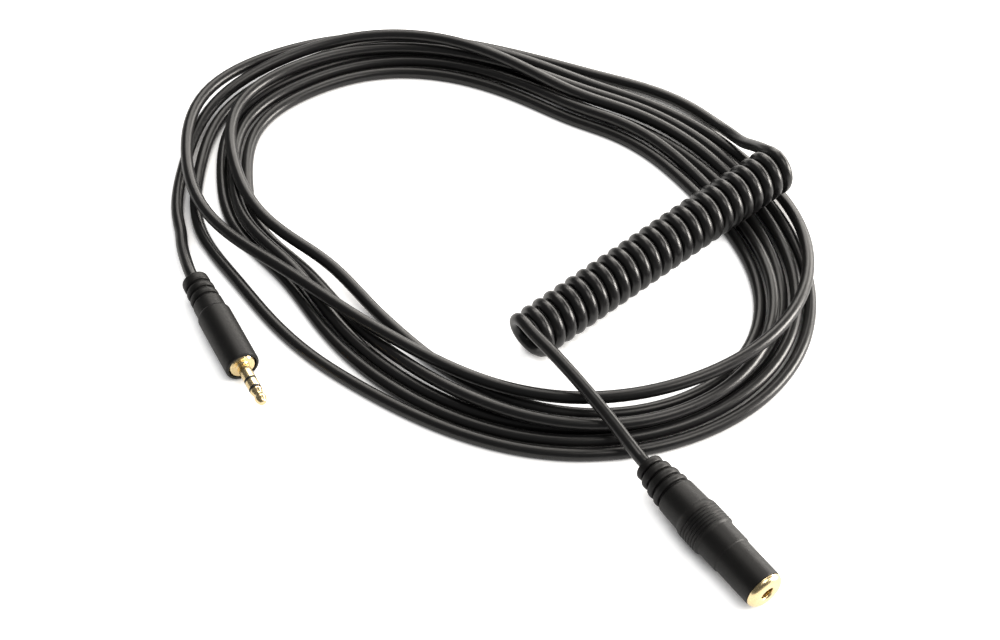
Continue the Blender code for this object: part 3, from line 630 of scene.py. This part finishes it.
NODE_PAINTS = {
    "plug_sleeve": "gold", "plug_ring": "gold", "plug_tip": "gold",
    "plug_ring_insulator": "insulator", "plug_tip_insulator": "insulator",
    "plug_inner_mould": "mould", "socket_inner_mould": "mould",
    "plug_wire_ground": "copper", "socket_wire_ground": "copper",
    "plug_wire_ring": "red", "socket_wire_ring": "red",
    "plug_wire_tip": "white", "socket_wire_tip": "white",
    "socket_bush": "gold", "socket_housing": "insulator",
    "socket_ring_tag": "brass", "socket_ring_leaf": "brass",
    "socket_tip_tag": "brass", "socket_tip_leaf": "brass",
    "plug_overmould": "boot", "socket_overmould": "boot",
}


def coat(item, key):
    """Give a piece one of the paints."""
    item.data.materials.clear()
    item.data.materials.append(PAINTS[key])


coat(cord, "cord")
coat(plug_boot, "boot")
coat(socket_boot, "boot")
coat(plug_point, "gold")
coat(socket_cap, "gold")
for name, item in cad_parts.items():
    coat(item, NODE_PAINTS.get(name, "cord"))


# ---------------------------------------------------------- floor and lights

LAMP_TINT = (1.0, 0.955, 0.895)
LAMP_DISTANCE = 1.0  # metres
LAMPS = (            # azimuth, elevation, (width, height) in metres, watts
    ("side", 88.0, 14.0, (0.5, 0.42), 16.0),
    ("side_back", 50.0, 14.0, (0.5, 0.42), 5.0),
    ("back_low", 20.0, 16.0, (0.45, 0.42), 3.5),
    ("back", 0.0, 38.0, (0.6, 0.42), 3.5),
    ("top", 0.0, 66.0, (0.45, 0.45), 1.5),
    ("side_high", 120.0, 62.0, (0.45, 0.45), 3.0),
)
FLOOR_GLOW = 0.8      # how far the floor shows whiter than it is lit
MIRRORED_GLOW = 0.4  # the share of it that polished metal mirrors
PAINTED_SHADE_REACH = 5.0         # millimetres within which pieces darken that glow as painted shade
OPENNESS = (0.3, 0.65)  # of the floor, where it starts to glow and glows fully; below that, painted shade
PAINTED_SHADE_SAMPLES = 8
FLOOR_HALF = 6.0      # metres
FLOOR_DROP = 0.0001   # metres, below what rests on it
FLOOR_COLOUR = (0.9, 0.9, 0.9, 1.0)
FLOOR_ROUGHNESS = 0.9
FLOOR_SPECULAR = 0.1
WORLD_LEVEL = 0.13


def make_floor():
    """White paper that takes the lamps' shadows, with a painted glow that shows it
    white and painted shade in that glow near and between the pieces.
    """
    mesh = bpy.data.meshes.new("floor")
    half = FLOOR_HALF
    mesh.from_pydata(
        [(-half, -half, 0), (half, -half, 0), (half, half, 0), (-half, half, 0)],
        [], [(0, 1, 2, 3)])
    item = bpy.data.objects.new("floor", mesh)
    bpy.context.scene.collection.objects.link(item)
    item.location.z = -FLOOR_DROP
    material = bpy.data.materials.new("floor_paper")
    material.use_nodes = True
    nodes = material.node_tree.nodes
    links = material.node_tree.links
    shader = nodes["Principled BSDF"]
    shader.inputs["Base Color"].default_value = FLOOR_COLOUR
    shader.inputs["Roughness"].default_value = FLOOR_ROUGHNESS
    shader.inputs["Specular IOR Level"].default_value = FLOOR_SPECULAR
    path = nodes.new("ShaderNodeLightPath")
    seen = nodes.new("ShaderNodeMath")
    seen.operation = "MAXIMUM"
    links.new(path.outputs["Is Camera Ray"], seen.inputs[0])
    mirrored = nodes.new("ShaderNodeMath")
    mirrored.operation = "MULTIPLY_ADD"
    mirrored.inputs[1].default_value = MIRRORED_GLOW
    links.new(path.outputs["Is Glossy Ray"], mirrored.inputs[0])
    links.new(path.outputs["Is Transmission Ray"], mirrored.inputs[2])
    links.new(mirrored.outputs["Value"], seen.inputs[1])
    level = nodes.new("ShaderNodeMath")
    level.operation = "MULTIPLY"
    level.inputs[1].default_value = FLOOR_GLOW
    # Painted shade: the glow fades where pieces stand close, as a painted contact
    # shadow under and between the passes.
    painted_shade = nodes.new("ShaderNodeAmbientOcclusion")
    painted_shade.samples = PAINTED_SHADE_SAMPLES
    painted_shade.inputs["Distance"].default_value = PAINTED_SHADE_REACH * MM
    open_floor = nodes.new("ShaderNodeMapRange")
    open_floor.inputs["From Min"].default_value = OPENNESS[0]
    open_floor.inputs["From Max"].default_value = OPENNESS[1]
    links.new(painted_shade.outputs["AO"], open_floor.inputs["Value"])
    shade = nodes.new("ShaderNodeMath")
    shade.operation = "MULTIPLY"
    links.new(seen.outputs["Value"], shade.inputs[0])
    links.new(open_floor.outputs["Result"], shade.inputs[1])
    links.new(shade.outputs["Value"], level.inputs[0])
    glow = nodes.new("ShaderNodeEmission")
    links.new(level.outputs["Value"], glow.inputs["Strength"])
    both = nodes.new("ShaderNodeAddShader")
    links.new(shader.outputs["BSDF"], both.inputs[0])
    links.new(glow.outputs["Emission"], both.inputs[1])
    links.new(both.outputs["Shader"], nodes["Material Output"].inputs["Surface"])
    mesh.materials.append(material)


def area_light(name, azimuth, elevation, size, power):
    """A soft box aimed at the cable, azimuth counted clockwise from the back."""
    data = bpy.data.lights.new(name, "AREA")
    data.color = LAMP_TINT
    data.shape = "RECTANGLE"
    data.size, data.size_y = size
    data.energy = power
    item = bpy.data.objects.new(name, data)
    bpy.context.scene.collection.objects.link(item)
    turn, rise = math.radians(azimuth), math.radians(elevation)
    item.location = LAMP_DISTANCE * Vector((
        math.sin(turn) * math.cos(rise), math.cos(turn) * math.cos(rise),
        math.sin(rise)))
    item.rotation_euler = (-item.location).to_track_quat("-Z", "Y").to_euler()


make_floor()
for lamp in LAMPS:
    area_light(*lamp)
world = bpy.data.worlds.new("world")
bpy.context.scene.world = world
world.use_nodes = True
sky = world.node_tree.nodes["Background"]
sky.inputs["Color"].default_value = (1, 1, 1, 1)
sky.inputs["Strength"].default_value = WORLD_LEVEL
bpy.context.scene.view_settings.view_transform = "Standard"
